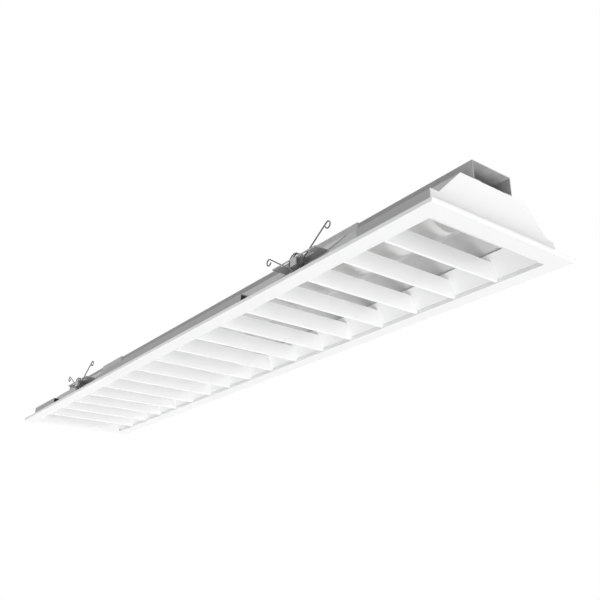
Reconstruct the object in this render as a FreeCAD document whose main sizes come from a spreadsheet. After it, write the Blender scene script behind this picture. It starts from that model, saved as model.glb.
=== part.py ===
"""Recessed linear troffer light with a louvre, drawn as it hangs in the ceiling.

Millimetres. X runs along the light, Y across it, Z up. The origin is the centre of the
light's visible face, so the face lies on Z = 0 and everything else stands above it.
"near" is the +X end and "far" the -X end; "left" is the -Y side and "right" the +Y side.
"""
import FreeCAD, Part
import math
import os
import re
import Sketcher
from FreeCAD import Placement, Rotation, Vector

doc = FreeCAD.newDocument("troffer")

# ---------------------------------------------------------------- driving dimensions
SIZES = {
    # the trim frame under the ceiling
    "end_overhang": 15,
    "side_overhang": 15.5,
    "trim_height": 5,
    "trim_wall": 1,
    "trim_bend": 0.8,
    "end_face": 26,
    "side_face": 24,
    # the folded body above it
    "body_length": 1200,
    "body_width": 207,
    "roof_width": 108,
    "roof_height": 64.2,
    "skirt_height": 15.7,
    "shell_wall": 1,
    "end_wall": 1,
    "rail_height": 27.3,
    "rail_wall": 1,
    "cutout_width": 244,
    "relief_width": 36,
    "relief_foot": 12,
    "relief_top": 26.5,
    # the wiring channel on the roof
    "channel_width": 65.2,
    "channel_height": 24.6,
    "channel_wall": 1.2,
    "channel_flange": 12,
    "hanger_margin": 80,
    "hanger_hole": 3.25,
    "cable_place": 450,
    "cable_hole": 10,
    # the strap brackets that carry the ceiling springs
    "spring_spacing": 724,
    "strap_width": 92,
    "strap_wall": 1.5,
    "ledge_height": 35.3,
    "window_width": 62,
    "tab_width": 12,
    "tab_drop": 10,
    # the torsion springs
    "wire": 1.8,
    "coil_radius": 11.5,
    "coil_turns": 1,
    "coil_pitch": 2.25,
    "spring_height": 31.7,
    "spring_gap": 0.3,
    "arm_rise": 33.4,
    "arm_wrap": 270,
    "arm_length": 70,
    "hook_radius": 4.5,
    "hook_turn": 290,
    # the louvre
    "blade_count": 16,
    "blade_thickness": 3.6,
    "blade_wall": 0.8,
    "blade_bend": 0.7,
    "blade_top": 25,
    "blade_foot": 1.5,
    "louvre_lift": 0.5,
    "louvre_height": 34,
    "louvre_gap": 0.5,
    "louvre_lean_in": 14,
    "louvre_wall": 0.8,
    "louvre_end_gap": 1.5,
    "hinge_inset": 2.5,
    "hinge_height": 2.5,
    "pin_radius": 1,
    "pin_head": 1.7,
    "pin_head_height": 0.8,
    "pin_grip": 4.5,
    "pin_clearance": 0.06,
    "magnet_spacing": 600,
    "magnet_length": 20,
    "magnet_foot": 8,
    "magnet_height": 6,
    "magnet_gap": 0.3,
    # the light source under the roof
    "tray_margin": 80,
    "tray_width": 44,
    "tray_wall": 1.5,
    "board_start": 12,
    "board_margin": 18,
    "board_width": 24,
    "board_wall": 1.6,
    "chip": 3,
    "chip_height": 0.8,
    "chip_count": 20,
    "connector_length": 16,
    "connector_width": 10,
    "connector_height": 6,
    "diffuser_margin": 73.6,
    "diffuser_radius": 31,
    "diffuser_centre": 70,
    "diffuser_wall": 1.8,
    # the electrical gear in the channel
    "driver_start": 60,
    "driver_length": 280,
    "driver_width": 30,
    "driver_height": 21,
    "driver_ear": 12,
    "ear_wall": 2,
    "driver_bend": 1.5,
    "terminal_gap": 40,
    "terminal_length": 30,
    "terminal_width": 28,
    "terminal_height": 18,
    "terminal_pitch": 8,
    "terminal_hole": 2.5,
    "lead_height": 11.8,
    "lead_radius": 1.1,
    "lead_bend": 10,
    "led_lead_radius": 2,
    # fasteners and grommets
    "rivet_rows": 50,
    "rivet_margin": 140,
    "rivet_shank": 1.6,
    "rivet_head": 3,
    "rivet_head_height": 1,
    "screw_shank": 2,
    "screw_head": 3.5,
    "screw_head_height": 2.2,
    "screw_margin": 6,
    "grommet_flange": 3,
    "grommet_lip": 1.5,
    "cable_bore": 6.5,
    "lead_hole": 4,
    "lead_bore": 2.1,
    "lead_flange": 1,
    "lead_lip": 1.2,
    "earth_place": 20,
    "earth_stud": 2,
    "earth_height": 12,
    "nut_radius": 4,
    "nut_height": 3.2,
}

sheet = doc.addObject("Spreadsheet::Sheet", "Sizes")
for row, (alias, number) in enumerate(SIZES.items(), start=1):
    sheet.set(f"A{row}", alias)
    sheet.set(f"B{row}", str(number))
    sheet.setAlias(f"B{row}", alias)
doc.recompute()

BLADES = int(SIZES["blade_count"])

# Sizes that follow from the ones above. Each may use the names before it.
FOLLOWING = {
    "trim_length": "(body_length + 2 * end_overhang)",
    "trim_width": "(body_width + 2 * side_overhang)",
    "opening_length": "(trim_length - 2 * end_face)",
    "opening_width": "(trim_width - 2 * side_face)",
    "hinge_across": "(opening_width / 2 - hinge_inset)",
    "louvre_top_width": "(opening_width - 2 * louvre_lean_in)",
    "ledge_reach": "body_width",
    "tongue_width": "(2 * sqrt((coil_radius - wire / 2)^2 - (ledge_height + strap_wall - spring_height)^2)"
                    " - 2 * spring_gap)",
    "hanger_spacing": "(body_length - 2 * hanger_margin)",
    "tray_length": "(body_length - 2 * tray_margin)",
    "board_length": "(tray_length / 2 - board_start - board_margin)",
    "diffuser_length": "(body_length - 2 * diffuser_margin)",
    "rivet_pitch": "((body_length - 2 * rivet_margin) / 4)",
}

# ---------------------------------------------------------------- shared expressions
SKIRT = "(body_width / 2 - rail_wall)"
RUN = f"({SKIRT} - roof_width / 2)"
RISE = "(roof_height - skirt_height)"
SLOPE = f"hypot({RUN}; {RISE})"
ROOF_INSIDE = "(roof_height - shell_wall)"
CHANNEL_TOP = "(roof_height + channel_height)"
FLANGE_TOP = "(roof_height + channel_wall)"
TRAY_UNDER = f"({ROOF_INSIDE} - tray_wall)"
SHELL_LENGTH = "(body_length - 2 * end_wall)"
CUTOUT_NEAR = "(spring_spacing / 2 + cutout_width / 2)"
CUTOUT_FAR = "(spring_spacing / 2 - cutout_width / 2)"
WINDOW_OUT = "(ledge_reach / 2 - strap_wall)"
SPRING_DEPTH = "(coil_turns * coil_pitch + 3 * wire + 2 * spring_gap)"
WINDOW_IN = f"({WINDOW_OUT} - {SPRING_DEPTH} - 2 * spring_gap)"
LOUVRE_EDGE = "(opening_width / 2 - louvre_gap)"
LOUVRE_LEAN = f"(({LOUVRE_EDGE} - louvre_top_width / 2) / (louvre_height - trim_height))"
PANEL_STEP = f"(louvre_wall * hypot(1; {LOUVRE_LEAN}))"
LOUVRE_END = "(opening_length / 2 - louvre_end_gap)"
DRIVER_END = "(driver_start + driver_length)"
TERMINAL_START = f"({DRIVER_END} + terminal_gap)"


def spelled(text):
    """Write an expression for the document, with each size named by its sheet."""
    text = str(text)
    for name, worked_out in reversed(FOLLOWING.items()):
        text = re.sub(rf"\b{name}\b", worked_out, text)
    return re.sub(r"[a-z_]+", lambda word: f"Sizes.{word[0]}" if word[0] in SIZES else word[0], text)


def number_of(text):
    """What an expression comes to, for code that needs the number itself."""
    return float(sheet.evalExpression(spelled(text)))


def bind(thing, **places):
    """Tie properties to expressions; two underscores stand for the dot of a sub-property."""
    for name, text in places.items():
        thing.setExpression(name.replace("__", "."), spelled(text))


def slope_across(height):
    """Half the body's width on the outside of its sloped wall at a height."""
    return f"(roof_width / 2 + (roof_height - {height}) * {RUN} / {RISE})"


def mirrored(half):
    """Close an outline that is the same on both sides of the light from its +Y half."""
    return half + [(f"-({across})", up) for across, up in reversed(half)]


def rectangle(low_across, high_across, low_up, high_up):
    return [(low_across, low_up), (high_across, low_up), (high_across, high_up), (low_across, high_up)]


# ---------------------------------------------------------------- shared ways of building
def new_body(label):
    body = doc.addObject("PartDesign::Body", label)
    body.Label = label
    return body


def new_sketch(body, plane, lift="0"):
    """Start a sketch on one of the body's own planes, lifted along the plane's normal."""
    sketch = body.newObject("Sketcher::SketchObject", f"{body.Name}_sketch")
    origin = [feature for feature in body.Origin.OriginFeatures if feature.Role == plane][0]
    sketch.AttachmentSupport = (origin, [""])
    sketch.MapMode = "FlatFace"
    sketch.setExpression(".AttachmentOffset.Base.z", spelled(lift))
    return sketch


def tie_point(sketch, geometry, point, across, up):
    """Hold a point of the sketch at two expressions, measured from the sketch's origin."""
    for direction, text in (("DistanceX", across), ("DistanceY", up)):
        number = sketch.addConstraint(Sketcher.Constraint(direction, -1, 1, geometry, point, 1.0))
        sketch.setExpression(f"Constraints[{number}]", spelled(text))


def outline(sketch, corners):
    """Draw a closed outline of straight lines whose corners are pairs of expressions."""
    first = sketch.GeometryCount
    count = len(corners)
    rough = [Vector(math.cos(math.tau * n / count), math.sin(math.tau * n / count), 0) for n in range(count)]
    for n in range(count):
        sketch.addGeometry(Part.LineSegment(rough[n], rough[(n + 1) % count]), False)
    for n in range(count):
        sketch.addConstraint(Sketcher.Constraint("Coincident", first + n, 1, first + (n - 1) % count, 2))
    for n, (across, up) in enumerate(corners):
        tie_point(sketch, first + n, 1, across, up)


def ring(sketch, across, up, radius):
    """Draw a circle whose centre and radius are expressions."""
    number = sketch.addGeometry(Part.Circle(Vector(0, 0, 0), Vector(0, 0, 1), 1), False)
    tie_point(sketch, number, 3, across, up)
    size = sketch.addConstraint(Sketcher.Constraint("Radius", number, 1.0))
    sketch.setExpression(f"Constraints[{size}]", spelled(radius))


def pad(body, sketch, length, middle=False):
    feature = body.newObject("PartDesign::Pad", f"{body.Name}_pad")
    feature.Profile = sketch
    feature.SideType = "Symmetric" if middle else "One side"
    bind(feature, Length=length)
    return feature


def pocket(body, sketch, length):
    """Cut a sketch away, half the length to each side of its plane."""
    doc.recompute()
    before = body.Shape.Volume
    feature = body.newObject("PartDesign::Pocket", f"{body.Name}_pocket")
    feature.Profile = sketch
    feature.SideType = "Symmetric"
    bind(feature, Length=length)
    doc.recompute()
    if body.Shape.Volume >= before:
        raise ValueError(f"{body.Label}: a pocket cuts nothing")
    return feature


def fillet(body, radius, chosen):
    """Round the edges of the body's last feature whose middle passes the test."""
    doc.recompute()
    last = body.Tip
    names = [
        f"Edge{n}" for n, edge in enumerate(last.Shape.Edges, start=1)
        if chosen(edge.CenterOfMass, edge)
    ]
    feature = body.newObject("PartDesign::Fillet", f"{body.Name}_fillet")
    feature.Base = (last, names)
    bind(feature, Radius=radius)


def discs(body, places, layers, plane="XY_Plane"):
    """Stack discs square to a plane; a layer is a radius and the two heights it lies between."""
    for radius, low, high in layers:
        sketch = new_sketch(body, plane, low)
        for across, up in places:
            ring(sketch, across, up, radius)
        pad(body, sketch, f"{high} - {low}")


def drill(body, places, radius, middle="0", depth="4 * roof_height"):
    """Drill upright holes, half their depth to each side of a middle height."""
    sketch = new_sketch(body, "XY_Plane", middle)
    for across, up in places:
        ring(sketch, across, up, radius)
    pocket(body, sketch, depth)


def block(label, start, length, width, low, height):
    """A plain block centred across the light, as a body with one pad."""
    body = new_body(label)
    sketch = new_sketch(body, "XY_Plane", low)
    outline(sketch, rectangle(start, f"{start} + {length}", f"-({width}) / 2", f"({width}) / 2"))
    pad(body, sketch, height)
    return body


nodes = []


def keep(thing):
    """Count a finished piece among the nodes that are written out."""
    nodes.append(thing)
    return thing


# ---------------------------------------------------------------- places that pieces share
RIVET_PLACES = [
    (f"{step} * rivet_pitch", f"{side} * rivet_rows / 2") for step in (-2, -1, 0, 1, 2) for side in (-1, 1)
]
TRAY_SCREW = "(tray_length / 2 - screw_margin)"
TRAY_SCREWS = [(TRAY_SCREW, "0"), (f"-{TRAY_SCREW}", "0")]
DRIVER_SCREWS = [("driver_start - driver_ear / 2", "0"), (f"{DRIVER_END} + driver_ear / 2", "0")]
HANGER_PLACES = [("hanger_spacing / 2", "0"), ("-hanger_spacing / 2", "0")]


# ---------------------------------------------------------------- trim frame
def make_trim_frame():
    """One welded sheet frame: a flat face with its outer edge and its inner lip turned up."""
    body = new_body("trim_frame")
    face = new_sketch(body, "XY_Plane")
    outline(face, rectangle("-trim_length / 2", "trim_length / 2", "-trim_width / 2", "trim_width / 2"))
    half_x, half_y = "opening_length / 2", "opening_width / 2"
    outline(face, rectangle(f"-{half_x}", half_x, f"-{half_y}", half_y))
    pad(body, face, "trim_height")
    # the trough between the turned-up edge and the lip, open at the top
    trough = new_sketch(body, "XY_Plane", "trim_height")
    outer_x, outer_y = "(trim_length / 2 - trim_wall)", "(trim_width / 2 - trim_wall)"
    inner_x, inner_y = "(opening_length / 2 + trim_wall)", "(opening_width / 2 + trim_wall)"
    outline(trough, rectangle(f"-{outer_x}", outer_x, f"-{outer_y}", outer_y))
    outline(trough, rectangle(f"-{inner_x}", inner_x, f"-{inner_y}", inner_y))
    pocket(body, trough, "2 * (trim_height - trim_wall)")
    # the two holes in the end lips where the louvre's pivot pins turn
    pivots = new_sketch(body, "YZ_Plane")
    ring(pivots, "hinge_across", "hinge_height", "pin_radius + pin_clearance")
    pocket(body, pivots, "opening_length + 4 * trim_wall")
    half_length = number_of("trim_length / 2")
    half_width = number_of("trim_width / 2")
    fillet(body, "trim_bend", lambda middle, edge: abs(middle.z) < 1e-6
           and (abs(abs(middle.x) - half_length) < 1e-6 or abs(abs(middle.y) - half_width) < 1e-6))
    return keep(body)


# ---------------------------------------------------------------- body
def make_body_shell():
    """The folded trough: two skirts on the trim, two sloped walls and the roof."""
    body = new_body("body_shell")
    section = new_sketch(body, "YZ_Plane")
    outline(section, mirrored([
        ("roof_width / 2", "roof_height"),
        (SKIRT, "skirt_height"),
        (SKIRT, "trim_wall"),
        (f"{SKIRT} - shell_wall", "trim_wall"),
        (f"{SKIRT} - shell_wall", f"skirt_height - shell_wall * {RUN} / ({SLOPE} + {RISE})"),
        (f"roof_width / 2 - shell_wall * {RISE} / ({SLOPE} + {RUN})", ROOF_INSIDE),
    ]))
    pad(body, section, SHELL_LENGTH, middle=True)
    # relief slots where the coils of the ceiling springs stand in the wall
    slots = new_sketch(body, "XZ_Plane")
    for side in (-1, 1):
        middle = f"{side} * spring_spacing / 2"
        outline(slots, rectangle(
            f"{middle} - relief_width / 2", f"{middle} + relief_width / 2", "relief_foot", "relief_top"))
    pocket(body, slots, "2 * body_width")
    drill(body, RIVET_PLACES, "rivet_shank")
    drill(body, TRAY_SCREWS + DRIVER_SCREWS, "screw_shank")
    drill(body, [("0", "0")], "lead_hole")
    return keep(body)


def make_end_plates():
    """A flat plate closes each end, with the outline of the trough and its rails."""
    for label, place in (("near", "body_length / 2 - end_wall"), ("far", "-body_length / 2")):
        body = new_body(f"end_plate_{label}")
        section = new_sketch(body, "YZ_Plane")
        outline(section, mirrored([
            ("roof_width / 2", "roof_height"),
            (slope_across("rail_height"), "rail_height"),
            ("body_width / 2", "rail_height"),
            ("body_width / 2", "trim_wall"),
        ]))
        pad(body, section, "end_wall")
        bind(body, Placement__Base__x=place)
        keep(body)


def rail_sections(sketch):
    """An angle on each side: a shelf against the sloped wall and an upstand on the trim."""
    for side in ("", "-"):
        half = [
            (slope_across("rail_height"), "rail_height"),
            ("body_width / 2", "rail_height"),
            ("body_width / 2", "trim_wall"),
            (SKIRT, "trim_wall"),
            (SKIRT, "rail_height - rail_wall"),
            (slope_across("(rail_height - rail_wall)"), "rail_height - rail_wall"),
        ]
        outline(sketch, [(f"{side}({across})", up) for across, up in half])


def make_side_rails():
    """Six rails: a long pair between the spring cut-outs and two short pairs at the ends."""
    long_pair = new_body("side_rails_long")
    section = new_sketch(long_pair, "YZ_Plane")
    rail_sections(section)
    pad(long_pair, section, f"2 * {CUTOUT_FAR}", middle=True)
    keep(long_pair)
    for label, place in (("near", CUTOUT_NEAR), ("far", f"-{SHELL_LENGTH} / 2")):
        body = new_body(f"side_rails_{label}")
        section = new_sketch(body, "YZ_Plane")
        rail_sections(section)
        pad(body, section, f"{SHELL_LENGTH} / 2 - {CUTOUT_NEAR}")
        bind(body, Placement__Base__x=place)
        keep(body)


def make_top_channel():
    """The wiring channel: a lipped channel, open side down, riveted along the roof."""
    body = new_body("top_channel")
    section = new_sketch(body, "YZ_Plane")
    outline(section, mirrored([
        ("channel_width / 2", CHANNEL_TOP),
        ("channel_width / 2", "roof_height"),
        ("channel_width / 2 - channel_flange", "roof_height"),
        ("channel_width / 2 - channel_flange", FLANGE_TOP),
        ("channel_width / 2 - channel_wall", FLANGE_TOP),
        ("channel_width / 2 - channel_wall", f"{CHANNEL_TOP} - channel_wall"),
    ]))
    pad(body, section, "body_length", middle=True)
    drill(body, HANGER_PLACES, "hanger_hole", CHANNEL_TOP, "4 * channel_wall")
    drill(body, [("cable_place", "0")], "cable_hole", CHANNEL_TOP, "4 * channel_wall")
    drill(body, RIVET_PLACES, "rivet_shank", FLANGE_TOP, "4 * channel_wall")
    return keep(body)


def make_strap_brackets():
    """A strap over the channel and down both slopes, with a ledge for a spring on each side."""
    for label, side in (("near", ""), ("far", "-")):
        body = new_body(f"strap_bracket_{label}")
        section = new_sketch(body, "YZ_Plane")
        ledge_top = "(ledge_height + strap_wall)"
        outline(section, mirrored([
            ("channel_width / 2 + strap_wall", f"{CHANNEL_TOP} + strap_wall"),
            ("channel_width / 2 + strap_wall", "roof_height + strap_wall"),
            (f"roof_width / 2 + strap_wall * {RISE} / ({SLOPE} + {RUN})", "roof_height + strap_wall"),
            (f"{slope_across(ledge_top)} + strap_wall * {SLOPE} / {RISE}", ledge_top),
            ("ledge_reach / 2", ledge_top),
            ("ledge_reach / 2", "ledge_height"),
            (slope_across("ledge_height"), "ledge_height"),
            ("roof_width / 2", "roof_height"),
            ("channel_width / 2", "roof_height"),
            ("channel_width / 2", CHANNEL_TOP),
        ]))
        pad(body, section, "strap_width", middle=True)
        # two windows in each ledge leave a tongue that the spring's coil hangs on
        windows = new_sketch(body, "XY_Plane", "ledge_height")
        for along in ("", "-"):
            for across in ("", "-"):
                outline(windows, rectangle(
                    f"{along}tongue_width / 2", f"{along}window_width / 2",
                    f"{across}{WINDOW_IN}", f"{across}{WINDOW_OUT}"))
        pocket(body, windows, "4 * strap_wall")
        # a tab turned down from each ledge's edge keeps the coil on its tongue
        tabs = new_sketch(body, "XY_Plane", "ledge_height - tab_drop")
        for across in ("", "-"):
            outline(tabs, rectangle(
                "-tab_width / 2", "tab_width / 2",
                f"{across}{WINDOW_OUT}", f"{across}ledge_reach / 2"))
        pad(body, tabs, "tab_drop")
        bind(body, Placement__Base__x=f"{side}spring_spacing / 2")
        keep(body)


# ---------------------------------------------------------------- light source
def lying_cylinder(name, radius, start, length, up):
    """A cylinder in the middle of the light, whose axis runs along it."""
    cylinder = doc.addObject("Part::Cylinder", name)
    cylinder.Placement = Placement(Vector(0, 0, 0), Rotation(Vector(0, 1, 0), 90))
    bind(cylinder, Radius=radius, Height=length, Placement__Base__x=start, Placement__Base__z=up)
    return cylinder


def below_roof(name, start, length):
    """The space under the roof, to trim a round cover to it."""
    box = doc.addObject("Part::Box", name)
    bind(box, Length=length, Width="2 * diffuser_radius", Height="diffuser_centre",
         Placement__Base__x=start, Placement__Base__y="-diffuser_radius",
         Placement__Base__z=f"{ROOF_INSIDE} - diffuser_centre")
    return box


def make_diffuser():
    """A half-round opal cover under the roof, closed by a flat cap at each end."""
    start = "(diffuser_wall - diffuser_length / 2)"
    length = "(diffuser_length - 2 * diffuser_wall)"
    tube = doc.addObject("Part::Cut", "diffuser_tube")
    tube.Base = lying_cylinder("diffuser_outside", "diffuser_radius", start, length, "diffuser_centre")
    bore = "diffuser_radius - diffuser_wall"
    tube.Tool = lying_cylinder("diffuser_inside", bore, start, length, "diffuser_centre")
    cover = doc.addObject("Part::Common", "diffuser")
    cover.Base = tube
    cover.Tool = below_roof("diffuser_space", start, length)
    keep(cover)
    cap_places = {"near": "(diffuser_length / 2 - diffuser_wall)", "far": "(-diffuser_length / 2)"}
    for label, place in cap_places.items():
        cap = doc.addObject("Part::Common", f"diffuser_cap_{label}")
        disc = f"cap_round_{label}"
        cap.Base = lying_cylinder(disc, "diffuser_radius", place, "diffuser_wall", "diffuser_centre")
        cap.Tool = below_roof(f"cap_space_{label}", place, "diffuser_wall")
        keep(cap)


def make_gear_tray():
    """The strip under the roof that the light boards lie on."""
    body = block("gear_tray", "(-tray_length / 2)", "tray_length", "tray_width", TRAY_UNDER, "tray_wall")
    drill(body, TRAY_SCREWS, "screw_shank")
    drill(body, [("0", "0")], "lead_hole + 1.5 * lead_flange")
    return keep(body)


def make_led_boards():
    """Two boards end to end, with a row of light chips on the underside of each."""
    for label, start in (("near", "board_start"), ("far", "(-board_start - board_length)")):
        body = block(f"led_board_{label}", start, "board_length", "board_width",
                     f"({TRAY_UNDER} - board_wall)", "board_wall")
        chips = new_sketch(body, "XY_Plane", f"{TRAY_UNDER} - board_wall - chip_height")
        margin = f"{start} + board_length / chip_count / 2 - chip / 2"
        outline(chips, rectangle(margin, f"{margin} + chip", "-chip / 2", "chip / 2"))
        chip = pad(body, chips, "chip_height")
        row = body.newObject("PartDesign::LinearPattern", f"{body.Name}_row")
        row.Originals = [chip]
        row.Direction = (chips, ["H_Axis"])
        bind(row, Length="board_length - board_length / chip_count", Occurrences="chip_count")
        body.Tip = row
        keep(body)


def make_led_connector():
    """The plug between the boards where the leads from above end."""
    return keep(block("led_connector", "(-connector_length / 2)", "connector_length", "connector_width",
                      f"({TRAY_UNDER} - connector_height)", "connector_height"))


# ---------------------------------------------------------------- gear in the channel
def make_led_driver():
    """The power supply, on a foot plate whose ears are screwed to the roof."""
    body = block("led_driver", "(driver_start - driver_ear)", "(driver_length + 2 * driver_ear)",
                 "driver_width", "roof_height", "ear_wall")
    case = new_sketch(body, "XY_Plane", "roof_height")
    outline(case, rectangle("driver_start", DRIVER_END, "-driver_width / 2", "driver_width / 2"))
    pad(body, case, "driver_height")
    drill(body, DRIVER_SCREWS, "screw_shank")
    top = SIZES["roof_height"] + SIZES["driver_height"]
    fillet(body, "driver_bend", lambda middle, edge: abs(middle.z - top) < 1e-6)
    return keep(body)


def make_terminal_block():
    """The three-way block for the supply, with its wire holes running along the light."""
    body = block("terminal_block", TERMINAL_START, "terminal_length", "terminal_width",
                 "roof_height", "terminal_height")
    holes = new_sketch(body, "YZ_Plane")
    for way in (-1, 0, 1):
        ring(holes, f"{way} * terminal_pitch", "roof_height + lead_height", "terminal_hole")
    pocket(body, holes, "2 * body_length")
    return keep(body)


def make_mains_leads():
    """Three short leads from the driver into the terminal block."""
    body = new_body("mains_leads")
    section = new_sketch(body, "YZ_Plane", DRIVER_END)
    for way in (-1, 0, 1):
        ring(section, f"{way} * terminal_pitch", "roof_height + lead_height", "lead_radius")
    pad(body, section, "terminal_gap + terminal_length / 3")
    return keep(body)


def make_earth_stud():
    """A threaded stud on the roof with its nut, past the terminal block."""
    body = new_body("earth_stud")
    place = f"({TERMINAL_START} + terminal_length + earth_place)"
    discs(body, [(place, "0")], [("earth_stud", "roof_height", "(roof_height + earth_height)")])
    nut = new_sketch(body, "XY_Plane", "roof_height")
    outline(nut, [(f"{place} + nut_radius * cos({60 * n})", f"nut_radius * sin({60 * n})") for n in range(6)])
    pad(body, nut, "nut_height")
    return keep(body)


def make_fasteners():
    """Blind rivets hold the channel to the roof; screws hold the tray and the driver."""
    rivets = new_body("pop_rivets")
    discs(rivets, RIVET_PLACES, [
        ("rivet_head", FLANGE_TOP, f"({FLANGE_TOP} + rivet_head_height)"),
        ("rivet_shank", ROOF_INSIDE, FLANGE_TOP),
        ("1.5 * rivet_shank", f"({ROOF_INSIDE} - rivet_head_height)", ROOF_INSIDE),
    ])
    keep(rivets)
    screws = new_body("gear_screws")
    discs(screws, TRAY_SCREWS, [
        ("screw_head", f"({TRAY_UNDER} - screw_head_height)", TRAY_UNDER),
        ("screw_shank", TRAY_UNDER, "(roof_height + 2 * shell_wall)"),
    ])
    discs(screws, DRIVER_SCREWS, [
        ("screw_shank", ROOF_INSIDE, "(roof_height + ear_wall)"),
        ("screw_head", "(roof_height + ear_wall)", "(roof_height + ear_wall + screw_head_height)"),
    ])
    keep(screws)


def make_grommets():
    """Rubber rings line the cable hole in the channel and the lead hole in the roof."""
    cable = new_body("cable_grommet")
    flange = "cable_hole + grommet_flange"
    discs(cable, [("cable_place", "0")], [
        (flange, CHANNEL_TOP, f"({CHANNEL_TOP} + grommet_lip)"),
        ("cable_hole", f"({CHANNEL_TOP} - channel_wall)", CHANNEL_TOP),
        (flange, f"({CHANNEL_TOP} - channel_wall - grommet_lip)", f"({CHANNEL_TOP} - channel_wall)"),
    ])
    drill(cable, [("cable_place", "0")], "cable_bore")
    keep(cable)
    lead = new_body("lead_grommet")
    discs(lead, [("0", "0")], [
        ("lead_hole + lead_flange", "roof_height", "(roof_height + lead_lip)"),
        ("lead_hole", ROOF_INSIDE, "roof_height"),
        ("lead_hole + lead_flange", f"({ROOF_INSIDE} - lead_lip)", ROOF_INSIDE),
    ])
    drill(lead, [("0", "0")], "lead_bore")
    keep(lead)


# ---------------------------------------------------------------- louvre
def louvre_outline(top):
    """The outline across the light of a blade or an end of the louvre, up to a height."""
    return mirrored([
        (f"{LOUVRE_EDGE} - {PANEL_STEP} - {LOUVRE_LEAN} * ({top} - trim_height)", top),
        (f"{LOUVRE_EDGE} - {PANEL_STEP}", "trim_height"),
        (LOUVRE_EDGE, "trim_height"),
        (LOUVRE_EDGE, "louvre_lift + blade_foot"),
        (f"{LOUVRE_EDGE} - blade_foot", "louvre_lift"),
    ])


def make_louvre_blades():
    """Cross blades folded from strip: a narrow upright U, closed at the bottom."""
    low = SIZES["louvre_lift"]
    for n in range(BLADES):
        body = new_body(f"louvre_blade_{n + 1:02d}")
        section = new_sketch(body, "YZ_Plane")
        outline(section, louvre_outline("blade_top"))
        pad(body, section, "blade_thickness", middle=True)
        hollow = new_sketch(body, "XZ_Plane")
        inside = "(blade_thickness / 2 - blade_wall)"
        outline(hollow, rectangle(f"-{inside}", inside, "louvre_lift + blade_wall", "blade_top + 1"))
        pocket(body, hollow, "2 * opening_width")
        fillet(body, "blade_bend", lambda middle, edge: abs(middle.z - low) < 1e-6 and abs(middle.y) < 1e-6)
        step = (BLADES - 1) / 2 - n
        bind(body, Placement__Base__x=f"{step} * opening_length / (blade_count + 1)")
        keep(body)


def make_louvre_sides():
    """A long panel on each side, leaning in from the trim's lip to the sloped wall."""
    for label, side in (("left", "-"), ("right", "")):
        body = new_body(f"louvre_side_{label}")
        section = new_sketch(body, "YZ_Plane")
        top_edge = "louvre_top_width / 2"
        outline(section, [
            (f"{side}({LOUVRE_EDGE})", "trim_height"),
            (f"{side}({top_edge})", "louvre_height"),
            (f"{side}({top_edge} - {PANEL_STEP})", "louvre_height"),
            (f"{side}({LOUVRE_EDGE} - {PANEL_STEP})", "trim_height"),
        ])
        pad(body, section, f"2 * ({LOUVRE_END} - louvre_wall)", middle=True)
        keep(body)


def make_louvre_ends():
    """A flat plate at each end of the louvre, with the pivot pin through its corner."""
    for label, side, place in (("near", "", f"{LOUVRE_END} - louvre_wall"), ("far", "-", f"-{LOUVRE_END}")):
        body = new_body(f"louvre_end_{label}")
        section = new_sketch(body, "YZ_Plane")
        outline(section, louvre_outline("louvre_height"))
        ring(section, "hinge_across", "hinge_height", "pin_radius")
        pad(body, section, "louvre_wall")
        bind(body, Placement__Base__x=place)
        keep(body)


def make_hinge_pins():
    """A headed pin at each end carries the louvre in the trim's end lip."""
    body = new_body("hinge_pins")
    inner = f"({LOUVRE_END} - louvre_wall)"
    discs(body, [("hinge_across", "hinge_height")], [
        ("pin_head", f"({inner} - pin_head_height)", inner),
        ("pin_radius", inner, f"({inner} + pin_grip)"),
        ("pin_radius", f"(-{inner} - pin_grip)", f"(-{inner})"),
        ("pin_head", f"(-{inner})", f"(-{inner} + pin_head_height)"),
    ], "YZ_Plane")
    return keep(body)


def make_catch_magnets():
    """Two magnets on the left skirt, a hair's breadth from the side panel that they hold."""
    body = new_body("catch_magnets")
    sketch = new_sketch(body, "XY_Plane", "magnet_foot")
    face = f"({LOUVRE_EDGE} - {LOUVRE_LEAN} * (magnet_foot - trim_height) + magnet_gap)"
    for side in ("", "-"):
        middle = f"{side}magnet_spacing / 2"
        outline(sketch, rectangle(
            f"{middle} - magnet_length / 2", f"{middle} + magnet_length / 2",
            f"-({SKIRT} - shell_wall)", f"-{face}"))
    pad(body, sketch, "magnet_height")
    return keep(body)


# ---------------------------------------------------------------- round wire
def arc_between(start, corner, end):
    """The arc that leaves start towards corner and arrives at end, as far from the corner."""
    chord_middle = (start + end) * 0.5
    reach = (corner - start).Length
    half_chord = (end - start).Length / 2
    depth = (corner - chord_middle).Length
    radius = reach * half_chord / depth
    sagitta = radius - math.sqrt(max(radius * radius - half_chord * half_chord, 0))
    return Part.Arc(start, chord_middle + (corner - chord_middle).normalize() * sagitta, end).toShape()


def biarc(start, start_way, end, end_way):
    """Two arcs in a row that leave start and arrive at end in the given directions."""
    chord = end - start
    both = start_way + end_way
    squared = 4 - both.dot(both)
    along = chord.dot(both)
    if abs(squared) < 1e-9:
        reach = chord.dot(chord) / (2 * along)
    else:
        reach = (-along + math.sqrt(along * along + squared * chord.dot(chord))) / squared
    first = start + start_way * reach
    second = end - end_way * reach
    middle = (first + second) * 0.5
    return [arc_between(start, first, middle), arc_between(middle, second, end)]


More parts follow.
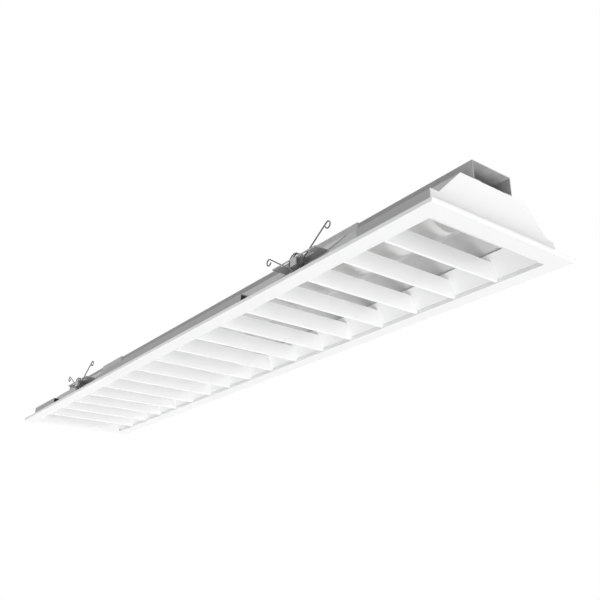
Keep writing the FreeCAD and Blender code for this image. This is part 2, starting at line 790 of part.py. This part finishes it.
def wire_tube(edges, radius):
    """A solid round wire along edges that run on from each other without a corner."""
    path = Part.Wire(edges)
    start = edges[0].valueAt(edges[0].FirstParameter)
    way = edges[0].tangentAt(edges[0].FirstParameter)
    profile = Part.Wire([Part.Circle(start, way, radius).toShape()])
    shell = Part.BRepOffsetAPI.MakePipeShell(path)
    shell.add(profile)
    shell.build()
    shell.makeSolid()
    solid = shell.shape()
    expected = path.Length * math.pi * radius * radius
    if abs(solid.Volume / expected - 1) > 0.02:
        raise ValueError("a wire's volume doesn't match its length")
    return solid


def make_wire(label, shape, placement):
    feature = doc.addObject("Part::Feature", label)
    feature.Shape = shape
    feature.Placement = placement
    return keep(feature)


def make_led_lead():
    """The lead that leaves the driver, bends down through the roof and ends at the boards."""
    height = sheet.roof_height + sheet.lead_height
    bend = sheet.lead_bend
    turn = Vector(0, 0, height)
    start = Vector(sheet.driver_start, 0, height)
    end = Vector(0, 0, sheet.roof_height - sheet.shell_wall - sheet.tray_wall)
    into, out_of = turn + Vector(bend, 0, 0), turn - Vector(0, 0, bend)
    edges = [
        Part.LineSegment(start, into).toShape(),
        arc_between(into, turn, out_of),
        Part.LineSegment(out_of, end).toShape(),
    ]
    make_wire("led_lead", wire_tube(edges, sheet.led_lead_radius), Placement())


WIRE = sheet.wire / 2
COIL = sheet.coil_radius
ARM_PLANE = sheet.coil_turns * sheet.coil_pitch / 2 + sheet.wire + sheet.spring_gap


def coil_point(turn):
    """A point on the coil's centre line and its direction, after a number of turns."""
    angle = math.tau * turn
    climb = sheet.coil_pitch / math.tau
    point = Vector(COIL * math.cos(angle), climb * angle - sheet.coil_turns * sheet.coil_pitch / 2,
                   COIL * math.sin(angle))
    way = Vector(-COIL * math.sin(angle), climb, COIL * math.cos(angle)).normalize()
    return point, way


def coil_shape():
    """The close turns round the tongue, with a short straight at each end."""
    quarters = int(sheet.coil_turns * 4)
    stops = [coil_point(n / 4) for n in range(quarters + 1)]
    edges = []
    for (start, start_way), (end, end_way) in zip(stops, stops[1:]):
        edges += biarc(start, start_way, end, end_way)
    first, first_way = stops[0]
    last, last_way = stops[-1]
    edges.insert(0, Part.LineSegment(first - first_way * sheet.wire, first).toShape())
    edges.append(Part.LineSegment(last, last + last_way * sheet.wire).toShape())
    samples = [coil_point(n / 48)[0] for n in range(quarters * 12 + 1)]
    gap = min(
        samples[low].distanceToPoint(samples[high])
        for low in range(len(samples)) for high in range(low + 24, len(samples))
    ) - sheet.wire
    print(f"coil: {sheet.coil_turns} turns, least gap between turns {gap:.2f} mm")
    return wire_tube(edges, WIRE)


def arm_shape(side):
    """One arm: most of a turn beside the coil, a straight leg rising outwards, and a hook.

    side is 1 for the arm that leaves towards +X and -1 for the other one.
    """
    rise = math.radians(sheet.arm_rise)
    leg_way = Vector(side * math.cos(rise), 0, math.sin(rise))
    outward = Vector(side * math.sin(rise), 0, -math.cos(rise))

    def on_coil(back):
        """A point on the turn, a number of degrees before the leg leaves it."""
        turn = math.radians(back)
        return outward * (COIL * math.cos(turn)) - leg_way * (COIL * math.sin(turn))

    leave = on_coil(0)
    tip = leave + leg_way * sheet.arm_length
    hook = sheet.hook_radius
    centre = tip + outward * hook

    def on_hook(angle):
        turn = math.radians(angle)
        return centre - outward * (hook * math.cos(turn)) + leg_way * (hook * math.sin(turn))

    def arcs(point_at, first, last):
        """Two arcs in a row along a circle, between two angles on it."""
        stops = [point_at(first + (last - first) * share / 4) for share in range(5)]
        return [Part.Arc(*stops[0:3]).toShape(), Part.Arc(*stops[2:5]).toShape()]

    edges = [
        *arcs(on_coil, sheet.arm_wrap, 0),
        Part.LineSegment(leave, tip).toShape(),
        *arcs(on_hook, 0, sheet.hook_turn),
    ]
    return wire_tube(edges, WIRE)


def make_springs():
    """Four torsion springs: a coil on each tongue and two arms that are squeezed upright."""
    across = number_of("ledge_reach / 2 - strap_wall - spring_gap") - (ARM_PLANE + WIRE)
    coil = coil_shape()
    # seen from the left side, the arm towards +X lies in front of the coil
    arms = {"outer": (arm_shape(1), -ARM_PLANE), "inner": (arm_shape(-1), ARM_PLANE)}
    for side, turn, way in (("left", 0, -1), ("right", 180, 1)):
        for end, along in (("near", 1), ("far", -1)):
            place = Vector(along * sheet.spring_spacing / 2, way * across, sheet.spring_height)
            spin = Rotation(Vector(0, 0, 1), turn)
            make_wire(f"spring_coil_{side}_{end}", coil, Placement(place, spin))
            for name, (shape, plane) in arms.items():
                shift = spin.multVec(Vector(0, plane, 0))
                make_wire(f"spring_arm_{side}_{end}_{name}", shape, Placement(place + shift, spin))


# ---------------------------------------------------------------- build, check and write
make_trim_frame()
make_body_shell()
make_end_plates()
make_side_rails()
make_top_channel()
make_strap_brackets()
make_diffuser()
make_gear_tray()
make_led_boards()
make_led_connector()
make_led_driver()
make_terminal_block()
make_mains_leads()
make_earth_stud()
make_fasteners()
make_grommets()
make_louvre_blades()
make_louvre_sides()
make_louvre_ends()
make_hinge_pins()
make_catch_magnets()
make_led_lead()
make_springs()
doc.recompute()

for thing in doc.Objects:
    if "Invalid" in thing.State or "Error" in thing.State:
        raise ValueError(f"{thing.Name} did not recompute: {thing.State}")
for node in nodes:
    if node.Shape.isNull() or not node.Shape.isValid() or not node.Shape.Solids:
        raise ValueError(f"{node.Label} has no valid solid")

os.makedirs("parts", exist_ok=True)
for node in nodes:
    node.Shape.exportStep(f"parts/{node.Label}.step")
print(f"{len(nodes)} nodes, {sum(len(node.Shape.Solids) for node in nodes)} solids")
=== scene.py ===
# %% [markdown]
# # A recessed louvre light, dressed around its CAD frame
#
# The light hangs in a ceiling and is seen from below and from one end. Its pieces come modelled
# and sized in a CAD frame, so this lesson is about how each surface looks: satin powder coat on
# the trim and the louvre, rolled zinc on the body, milky plastic over the light source, and the
# small things that making leaves behind, such as rivet stems and screw slots.

import math

import bmesh
import bpy
from mathutils import Euler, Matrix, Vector


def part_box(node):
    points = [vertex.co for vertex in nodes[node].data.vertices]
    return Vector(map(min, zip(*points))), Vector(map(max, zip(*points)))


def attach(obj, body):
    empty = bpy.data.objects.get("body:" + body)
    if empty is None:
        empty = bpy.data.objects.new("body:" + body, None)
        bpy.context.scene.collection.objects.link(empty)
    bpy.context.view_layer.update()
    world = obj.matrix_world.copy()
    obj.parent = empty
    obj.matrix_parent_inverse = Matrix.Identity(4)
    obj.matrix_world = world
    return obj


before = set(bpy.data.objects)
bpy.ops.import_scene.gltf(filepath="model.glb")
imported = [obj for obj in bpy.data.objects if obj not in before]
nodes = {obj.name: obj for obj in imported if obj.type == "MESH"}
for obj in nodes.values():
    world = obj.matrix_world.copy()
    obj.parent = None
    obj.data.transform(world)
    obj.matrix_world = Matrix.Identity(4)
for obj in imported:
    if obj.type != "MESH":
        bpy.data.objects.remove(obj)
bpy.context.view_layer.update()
MM = 0.001

# %% [markdown]
# ## Camera
#
# A catalogue picture of a ceiling light is taken from below, near one end, so that the long
# body runs away from the eye. Place, turn and lens were worked out from the corners of the trim
# in the picture.

# %% Camera
CAMERA_PLACE = Vector((1.0590, -0.6114, -0.3678))
CAMERA_TURN_DEGREES = (111.91, -0.32, 53.17)
LENS_MM = 45.05
SENSOR_MM = 36

camera = bpy.data.objects.new("camera", bpy.data.cameras.new("camera"))
camera.data.lens = LENS_MM
camera.data.sensor_width = SENSOR_MM
camera.data.clip_start = 0.01
camera.location = CAMERA_PLACE
camera.rotation_euler = Euler([math.radians(turn) for turn in CAMERA_TURN_DEGREES])
bpy.context.scene.collection.objects.link(camera)
bpy.context.scene.camera = camera
bpy.context.scene.view_settings.view_transform = "Standard"
print("camera stands at", [round(place, 3) for place in camera.location])

# %% [markdown]
# ## Shader maths as plain expressions
#
# A material is a small graph of nodes, and maths on it is easier to read as Python. `Wire` wraps
# one output of a node: adding, multiplying or comparing wires adds the Math node for it. `Graph`
# holds the node tree, and its one method makes every other kind of node.


# %% Wires and graphs
class Wire:
    """One output of a shader node. Sums, products and comparisons of wires add Math nodes."""

    def __init__(self, graph, socket):
        self.graph = graph
        self.socket = socket

    def maths(self, operation, first, second):
        return self.graph.node("ShaderNodeMath", {"operation": operation}, {0: first, 1: second})

    def __add__(self, other):
        return self.maths("ADD", self, other)

    def __mul__(self, other):
        return self.maths("MULTIPLY", self, other)

    def __gt__(self, other):
        return self.maths("GREATER_THAN", self, other)

    def __lt__(self, other):
        return self.maths("LESS_THAN", self, other)

    __radd__ = __add__
    __rmul__ = __mul__


class Graph:
    """A node tree that is filled in by calls of node()."""

    def __init__(self, tree):
        self.tree = tree

    def node(self, kind, settings=None, sockets=None, output=0):
        made = self.tree.nodes.new(kind)
        for name, value in (settings or {}).items():
            setattr(made, name, value)
        for name, value in (sockets or {}).items():
            self.join(value, made.inputs[name])
        return Wire(self, made.outputs[output])

    def join(self, value, socket):
        if isinstance(value, Wire):
            self.tree.links.new(value.socket, socket)
        else:
            socket.default_value = value


def grey(level):
    return (level, level, level, 1)


# %% [markdown]
# ## Studio
#
# The picture has a plain white ground, so the world looks white to the camera and to mirror
# reflections, while the light it sheds on the object is set apart and kept moderate. Suns with
# a wide angle give soft light that is even over the whole length: the strongest from below and
# from the near end, because the face of a ceiling light is what such a picture shows.

# %% World
AMBIENT = 0.24

world = bpy.data.worlds.new("studio")
world.use_nodes = True
bpy.context.scene.world = world
air = Graph(world.node_tree)
seen, mirrored, through = (
    air.node("ShaderNodeLightPath", output=f"Is {kind} Ray") for kind in ("Camera", "Glossy", "Transmission"))
shown = air.node("ShaderNodeMath", {"operation": "ADD", "use_clamp": True}, {0: seen, 1: mirrored + through})
white_ground = air.node("ShaderNodeBackground", None, {"Color": grey(1), "Strength": 1})
soft_light = air.node("ShaderNodeBackground", None, {"Color": grey(1), "Strength": AMBIENT})
both = air.node("ShaderNodeMixShader", None, {"Fac": shown, 1: soft_light, 2: white_ground})
air.join(both, world.node_tree.nodes["World Output"].inputs["Surface"])

# %% [markdown]
# A sun lamp is set by the way its light goes, not by its place. Four of them stand in for the
# big soft boxes of a studio. One large area lamp would fall off along the body, so that its far
# end goes dark, and suns don't.

# %% Suns
# each sun: the way its light goes, its level, and how wide it looks in degrees
SUNS = {
    "underside_sun": ((-0.5, 0.15, 0.85), 1.0, 50),
    "end_sun": ((-1, -0.1, 0.15), 0.45, 40),
    "side_sun": ((-0.1, 1, 0.5), 0.34, 70),
    "roof_sun": ((-0.2, 0.25, -1), 0.14, 30),
}

for name, (way, level, softness) in SUNS.items():
    lamp = bpy.data.lights.new(name, "SUN")
    lamp.energy = level * math.pi
    lamp.angle = math.radians(softness)
    holder = bpy.data.objects.new(name, lamp)
    holder.rotation_euler = Vector(way).to_track_quat("-Z", "Y").to_euler()
    bpy.context.scene.collection.objects.link(holder)
print("suns:", ", ".join(SUNS))

# %% [markdown]
# ## Floor
#
# Only the views from above see the floor, far below the light. It is pale, keeps a soft shadow,
# and lets the suns from below pass, as a lit glass table would.

# %% Floor
FLOOR_HEIGHT = -2.0
FLOOR_SIZE = 14.0
FLOOR_GLOW = 0.8

floor_shape = bmesh.new()
bmesh.ops.create_grid(floor_shape, x_segments=1, y_segments=1, size=FLOOR_SIZE / 2)
bmesh.ops.translate(floor_shape, vec=(0, 0, FLOOR_HEIGHT), verts=floor_shape.verts)
floor_mesh = bpy.data.meshes.new("floor")
floor_shape.to_mesh(floor_mesh)
floor_shape.free()
floor = bpy.data.objects.new("floor", floor_mesh)
floor.visible_shadow = False
bpy.context.scene.collection.objects.link(floor)

floor_paint = bpy.data.materials.new("floor_paint")
floor_paint.use_nodes = True
ground = Graph(floor_paint.node_tree)
matt = ground.node("ShaderNodeBsdfDiffuse", None, {"Color": grey(0.85)})
glow = ground.node("ShaderNodeEmission", None, {"Color": grey(1), "Strength": 1})
camera_ray = ground.node("ShaderNodeLightPath", output="Is Camera Ray")
mixed = ground.node("ShaderNodeMixShader", None, {"Fac": camera_ray * FLOOR_GLOW, 1: matt, 2: glow})
ground.join(mixed, floor_paint.node_tree.nodes["Material Output"].inputs["Surface"])
floor_mesh.materials.append(floor_paint)

# %% [markdown]
# ## A material to start from
#
# Every finish starts the same way: a Principled shader, the place on the object in metres, and
# fine relief from a Bump node. `Finish` keeps these together, so that each finish below is only
# what makes that surface different. Patterns read Object coordinates, because every piece's
# object sits at the origin and the grain then keeps its real size.


# %% Finish
# a Mix node has sockets for every kind of value, so its colour ones are told by number
MIX_AMOUNT, MIX_FIRST, MIX_SECOND, MIX_RESULT = 0, 6, 7, 2


class Finish(Graph):
    """A material with one Principled shader, and patterns on the object's own coordinates."""

    def __init__(self, name, colour, roughness, metallic=0.0, coat=0.0):
        self.material = bpy.data.materials.new(name)
        self.material.use_nodes = True
        super().__init__(self.material.node_tree)
        self.shader = self.tree.nodes["Principled BSDF"]
        self.place = self.node("ShaderNodeTexCoord", output="Object")
        self.feed("Base Color", colour)
        self.feed("Roughness", roughness)
        self.feed("Metallic", metallic)
        self.feed("Coat Weight", coat)

    def feed(self, socket, value):
        self.join(value, self.shader.inputs[socket])

    def stretched(self, along, across, up):
        """The place on the object, counted this many times a metre along X, Y and Z."""
        return self.node("ShaderNodeMapping", None, {"Vector": self.place, "Scale": (along, across, up)})

    def noise(self, place, scale=1.0, detail=2.0):
        return self.node("ShaderNodeTexNoise", None, {"Vector": place, "Scale": scale, "Detail": detail})

    def axis(self, letter):
        return self.node("ShaderNodeSeparateXYZ", None, {"Vector": self.place}, letter)

    def blend(self, amount, first, second):
        """The first colour where amount is 0, and the second where it is 1."""
        sockets = {MIX_AMOUNT: amount, MIX_FIRST: first, MIX_SECOND: second}
        return self.node("ShaderNodeMix", {"data_type": "RGBA"}, sockets, MIX_RESULT)

    def relief(self, height, depth_mm, strength=1.0):
        sockets = {"Height": height, "Distance": depth_mm * MM, "Strength": strength}
        self.feed("Normal", self.node("ShaderNodeBump", None, sockets))


def dress(material, *names):
    """Gives CAD pieces their finish. Their meshes stay as they are."""
    for name in names:
        nodes[name].data.materials.clear()
        nodes[name].data.materials.append(material)
    print(f"{material.name}: {len(names)} pieces")


def named(start):
    return [name for name in nodes if name.startswith(start)]


# %% [markdown]
# ## White powder coat
#
# The trim, the end plates and the louvre are steel sheet with white powder baked on. Powder
# flows into a skin with a faint orange-peel relief, satin rather than glossy, and its white
# drifts a little from place to place. The louvre's coat is brighter, since it has to throw
# light down.


# %% White powder coat
PEEL_PER_METRE = 420
DRIFT_PER_METRE = 9
POWDER_GLOSS = 0.12


def powder_coat(name, white, shade, roughness):
    """Satin paint: a slow drift between two whites under a fine orange-peel relief."""
    coat = Finish(name, white, roughness, coat=POWDER_GLOSS)
    drift = coat.noise(coat.place, DRIFT_PER_METRE, 3)
    coat.feed("Base Color", coat.blend(drift, white, shade))
    peel = coat.noise(coat.place, PEEL_PER_METRE, 2)
    coat.feed("Roughness", roughness - 0.05 + peel * 0.1)
    coat.relief(peel, 0.05, 0.35)
    return coat.material


trim_white = powder_coat("trim_white", (0.88, 0.88, 0.88, 1), (0.85, 0.85, 0.855, 1), 0.42)
louvre_white = powder_coat("louvre_white", (0.87, 0.87, 0.87, 1), (0.84, 0.84, 0.845, 1), 0.36)
dress(trim_white, "trim_frame", *named("end_plate"))
dress(louvre_white, *named("louvre_"))

# %% [markdown]
# ## Body coat
#
# The folded body behind the ceiling is coloured a mid grey, darker than the trim's white, over
# sheet that still shows the faint lines of its rolling along the light. A noise that is stretched
# along X draws such lines, and a broad round noise over them keeps the long walls from looking flat.

# %% Body coat
ROLLING = (5, 260, 260)
CLOUDS_PER_METRE = 14

body_coat = Finish("body_coat", grey(0.5), 0.5)
lines = body_coat.noise(body_coat.stretched(*ROLLING), 1, 4)
cloud = body_coat.noise(body_coat.place, CLOUDS_PER_METRE, 3)
body_coat.feed("Base Color", body_coat.blend(lines * 0.5 + cloud * 0.5, grey(0.47), grey(0.58)))
body_coat.feed("Roughness", 0.42 + cloud * 0.16)
body_coat.relief(lines, 0.03, 0.3)
dress(body_coat.material, "body_shell", *named("side_rails"))

# %% [markdown]
# ## Galvanised sheet
#
# The wiring channel and the spring straps are hot-dip galvanised. Zinc freezes in flat crystals
# some millimetres wide, each turned its own way, so each has its own grey and its own gloss. A
# Voronoi texture gives every cell one random value, which is just that. Its straight borders are
# pushed about by a noise first. The straps get a lighter copy of the zinc than the channel. This is
# painted light that brightens the straps, whose undersides lie in shade.

# %% Galvanised sheet
SPANGLES_PER_METRE = 110
WOBBLES_PER_METRE = 160
WOBBLE_REACH = 4 * MM
DULL_PER_METRE = 25


def galvanised(name, dark, light):
    """Zinc skin: wavy-edged crystals, each with a grey and a gloss of its own."""
    zinc = Finish(name, light, 0.45, 0.08)
    wobble = zinc.noise(zinc.place, WOBBLES_PER_METRE, 2)
    bend = zinc.node("ShaderNodeVectorMath", {"operation": "SCALE"}, {0: wobble, "Scale": WOBBLE_REACH})
    pushed = zinc.node("ShaderNodeVectorMath", {"operation": "ADD"}, {0: zinc.place, 1: bend})
    cells = zinc.node("ShaderNodeTexVoronoi", None, {"Vector": pushed, "Scale": SPANGLES_PER_METRE}, "Color")
    spangle = zinc.node("ShaderNodeSeparateColor", None, {"Color": cells})
    dull = zinc.noise(zinc.place, DULL_PER_METRE, 4)
    zinc.feed("Base Color", zinc.blend(spangle * 0.6 + dull * 0.4, dark, light))
    zinc.feed("Roughness", 0.38 + spangle * 0.14)
    zinc.relief(spangle, 0.02, 0.25)
    return zinc.material


channel_zinc = galvanised("galvanised", grey(0.32), grey(0.44))
# the straps' lighter greys are painted light, brightening the strap ledges' shaded undersides
strap_zinc_brightened = galvanised("galvanised_strap_brightened", grey(0.54), grey(0.68))
dress(channel_zinc, "top_channel")
dress(strap_zinc_brightened, *named("strap_bracket"))

# %% [markdown]
# ## Opal cover
#
# The half-round cover is extruded milky plastic. It glows only when the light is on, and here it
# is off, so it is a smooth pale shell with faint die lines along its length.

# %% Opal cover
DIE_LINES = (3, 420, 420)

opal = Finish("opal", grey(0.8), 0.3, coat=0.25)
die_lines = opal.noise(opal.stretched(*DIE_LINES), 1, 2)
opal.feed("Base Color", opal.blend(die_lines, (0.6, 0.6, 0.595, 1), (0.66, 0.66, 0.655, 1)))
opal.feed("Roughness", 0.26 + die_lines * 0.08)
opal.relief(die_lines, 0.02, 0.2)
dress(opal.material, *named("diffuser"))

# %% [markdown]
# ## Light source
#
# Behind the cover an aluminium tray carries two white circuit boards. The light chips are part
# of the boards' solids and stand lower than the board's face, so the height on the object tells
# the yellow phosphor from the white lacquer, and a noise gives the tray its brushed lines.

# %% Tray and boards
CHIP_HEIGHT = 0.8 * MM
JUST_PAST = 0.02 * MM
BRUSHING = (6, 700, 700)
LACQUER_PER_METRE = 60

tray = Finish("tray_aluminium", grey(0.6), 0.35, 1.0)
brushing = tray.noise(tray.stretched(*BRUSHING), 1, 3)
tray.feed("Base Color", tray.blend(brushing, grey(0.55), grey(0.7)))
tray.feed("Roughness", 0.25 + brushing * 0.2)
tray.relief(brushing, 0.02, 0.3)
dress(tray.material, "gear_tray")

board = Finish("board", grey(0.8), 0.4, coat=0.3)
board_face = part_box("led_board_near")[0].z + CHIP_HEIGHT
chip = board.axis("Z") < board_face - JUST_PAST
lacquer = board.noise(board.place, LACQUER_PER_METRE, 2)
board_white = board.blend(lacquer, (0.8, 0.8, 0.78, 1), (0.86, 0.86, 0.84, 1))
board.feed("Base Color", board.blend(chip, board_white, (0.86, 0.62, 0.13, 1)))
board.feed("Roughness", 0.3 + chip * 0.2)
board.relief(lacquer, 0.02, 0.2)
dress(board.material, *named("led_board"))

# %% [markdown]
# ## Plastic and rubber
#
# The moulded pieces share one recipe: a colour that drifts slightly, and the fine spark-eroded
# grain of the mould. Only the colours and the size of the grain change.


# %% Moulded pieces
def moulded(name, colour, shade, roughness, grain_per_metre):
    """Moulded plastic or rubber: fine grain in the surface, and a slow drift in the colour."""
    plastic = Finish(name, colour, roughness)
    grain = plastic.noise(plastic.place, grain_per_metre, 2)
    drift = plastic.noise(plastic.place, 40, 2)
    plastic.feed("Base Color", plastic.blend(drift, colour, shade))
    plastic.feed("Roughness", roughness - 0.06 + grain * 0.12)
    plastic.relief(grain, 0.05, 0.4)
    return plastic.material


connector_plastic = moulded("connector_plastic", (0.78, 0.76, 0.7, 1), (0.72, 0.7, 0.64, 1), 0.45, 1500)
driver_case = moulded("driver_case", (0.72, 0.73, 0.74, 1), (0.66, 0.67, 0.68, 1), 0.5, 1200)
rubber = moulded("grommet_rubber", (0.03, 0.03, 0.03, 1), (0.05, 0.05, 0.05, 1), 0.65, 1800)
magnet_black = moulded("magnet", (0.06, 0.06, 0.065, 1), (0.09, 0.09, 0.09, 1), 0.55, 900)
dress(connector_plastic, "led_connector", "terminal_block")
dress(driver_case, "led_driver")
dress(rubber, "cable_grommet", "lead_grommet")
dress(magnet_black, "catch_magnets")

# %% [markdown]
# ## Leads
#
# The three mains leads lie side by side, so the place across the light tells them apart: brown,
# green-and-yellow, and blue. The lead to the boards is a white sheathed pair.

# %% Leads
LEAD_GAP = 4 * MM
SCUFFS_PER_METRE = 300

sheath = Finish("lead_sheath", (0.75, 0.75, 0.73, 1), 0.45)
across = sheath.axis("Y")
brown_to_earth = sheath.blend(across > -LEAD_GAP, (0.14, 0.055, 0.025, 1), (0.2, 0.5, 0.08, 1))
coloured = sheath.blend(across > LEAD_GAP, brown_to_earth, (0.03, 0.12, 0.5, 1))
scuffs = sheath.noise(sheath.place, SCUFFS_PER_METRE, 2)
mains_side = sheath.axis("X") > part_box("mains_leads")[0].x - MM
sheath.feed("Base Color", sheath.blend(mains_side, (0.75, 0.75, 0.73, 1), coloured))
sheath.feed("Roughness", 0.38 + scuffs * 0.16)
sheath.relief(scuffs, 0.03, 0.3)
dress(sheath.material, "mains_leads", "led_lead")

# %% [markdown]
# ## Turned and drawn metal
#
# Stud, rivets, screws, pins and springs are small and shiny. What makes them real is that the
# gloss is uneven: drawing lines, a little oil, and plating that is never quite the same.


# %% Small metal pieces
def small_metal(name, colour, shade, roughness, grain_per_metre):
    """Drawn or plated metal with a mottled gloss."""
    metal = Finish(name, colour, roughness, 1.0)
    mottle = metal.noise(metal.place, grain_per_metre, 3)
    metal.feed("Base Color", metal.blend(mottle, colour, shade))
    metal.feed("Roughness", roughness - 0.08 + mottle * 0.16)
    metal.relief(mottle, 0.02, 0.3)
    return metal.material


brass = small_metal("brass", (0.75, 0.55, 0.22, 1), (0.62, 0.44, 0.17, 1), 0.3, 500)
zinc_plate = small_metal("zinc_steel", (0.62, 0.63, 0.64, 1), (0.5, 0.51, 0.52, 1), 0.32, 600)
spring_steel = small_metal("spring_steel", (0.2, 0.2, 0.2, 1), (0.12, 0.12, 0.12, 1), 0.34, 400)
dress(brass, "earth_stud")
dress(zinc_plate, "pop_rivets", "gear_screws", "hinge_pins")
dress(spring_steel, *named("spring_"))

# %% [markdown]
# ## Small pieces that only show close up
#
# A blind rivet keeps the broken end of its stem in the middle of its head, and a terminal has a
# slotted screw over each wire. They are too small for the frame, so they are modelled here, one
# shape each. Ten objects that share one mesh would do as well, but one object with its copies in
# its mesh rides and exports as a single piece.


# %% Piece helpers
def copies(shape, places):
    """Fills a bmesh that holds one shape at the origin with a copy at every place."""
    first = shape.verts[:] + shape.edges[:] + shape.faces[:]
    for place in places[1:]:
        copy = bmesh.ops.duplicate(shape, geom=first)
        moved = [part for part in copy["geom"] if isinstance(part, bmesh.types.BMVert)]
        bmesh.ops.translate(shape, vec=place, verts=moved)
    bmesh.ops.translate(shape, vec=places[0], verts=[p for p in first if isinstance(p, bmesh.types.BMVert)])


def add_piece(name, shape, material, body):
    """Turns a finished bmesh into an object that rides on a body."""
    bmesh.ops.recalc_face_normals(shape, faces=shape.faces)
    mesh = bpy.data.meshes.new(name)
    shape.to_mesh(mesh)
    shape.free()
    mesh.materials.append(material)
    piece = bpy.data.objects.new(name, mesh)
    bpy.context.scene.collection.objects.link(piece)
    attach(piece, body)
    print(f"{name}: {len(mesh.polygons)} faces")
    return piece


def round_pin(radius, height, bevel, segments=20):
    """A short upright pin on the origin with a softened rim."""
    shape = bmesh.new()
    bmesh.ops.create_cone(
        shape, cap_ends=True, segments=segments, radius1=radius, radius2=radius, depth=height)
    bmesh.ops.translate(shape, vec=(0, 0, height / 2), verts=shape.verts)
    rim = [edge for edge in shape.edges if all(vert.co.z > height - JUST_PAST for vert in edge.verts)]
    bmesh.ops.bevel(
        shape, geom=rim, offset=bevel, affect="EDGES", segments=2, profile=0.5, material=-1)
    return shape


# %% [markdown]
# A blind rivet is set from one side by pulling its stem until it snaps. What is left is a small
# pin with a softened rim: a cone operator whose two radii are the same makes it, and a bevel
# of the upper rim catches the light.

# %% Rivet stems
RIVET_PITCH = 230 * MM
RIVET_ROW = 25 * MM
RIVETS_EACH_SIDE = 2
STEM_RADIUS = 0.9 * MM
STEM_HEIGHT = 0.6 * MM
STEM_SUNK = 0.1 * MM
STEM_BEVEL = 0.2 * MM

rivet_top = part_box("pop_rivets")[1].z - STEM_SUNK
stem_places = [
    (step * RIVET_PITCH, side * RIVET_ROW, rivet_top)
    for step in range(-RIVETS_EACH_SIDE, RIVETS_EACH_SIDE + 1)
    for side in (-1, 1)
]
stem = round_pin(STEM_RADIUS, STEM_HEIGHT, STEM_BEVEL)
copies(stem, stem_places)
add_piece("rivet_stems", stem, zinc_plate, "housing")

# %% [markdown]
# Each pole of the terminal block has a brass screw at both ends. The slot could be cut with a
# Boolean, but two bisecting planes mark its edges on the head, and the strip between them is
# pushed down, which leaves clean faces.

# %% Terminal screws
SCREW_RADIUS = 2.2 * MM
SCREW_HEIGHT = 0.8 * MM
SLOT_WIDTH = 0.7 * MM
SLOT_DEPTH = 0.5 * MM
SCREW_BEVEL = 0.25 * MM
SCREW_RIM = 0.3 * MM
TERMINAL_PITCH = 8 * MM
SCREW_FROM_END = 7 * MM

block_low, block_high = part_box("terminal_block")
screw = round_pin(SCREW_RADIUS, SCREW_HEIGHT, SCREW_BEVEL)
crown = max(screw.faces, key=lambda face: face.calc_center_median().z)
bmesh.ops.inset_individual(screw, faces=[crown], thickness=SCREW_RIM)
for side in (-1, 1):
    inner = max(screw.faces, key=lambda face: face.calc_center_median().z + face.calc_area())
    around = [inner, *inner.edges, *inner.verts]
    bmesh.ops.bisect_plane(screw, geom=around, plane_co=(0, side * SLOT_WIDTH / 2, 0), plane_no=(0, side, 0))
slot_face = [
    face for face in screw.faces
    if face.normal.z > 0.9 and face.calc_center_median().xy.length < SLOT_WIDTH / 4
]
sunk = bmesh.ops.extrude_face_region(screw, geom=slot_face)
bmesh.ops.delete(screw, geom=slot_face, context="FACES_ONLY")
slot_floor = [part for part in sunk["geom"] if isinstance(part, bmesh.types.BMVert)]
bmesh.ops.translate(screw, vec=(0, 0, -SLOT_DEPTH), verts=slot_floor)
screw_places = [
    (x, step * TERMINAL_PITCH, block_high.z)
    for x in (block_low.x + SCREW_FROM_END, block_high.x - SCREW_FROM_END)
    for step in (-1, 0, 1)
]
copies(screw, screw_places)
add_piece("terminal_screws", screw, brass, "housing")
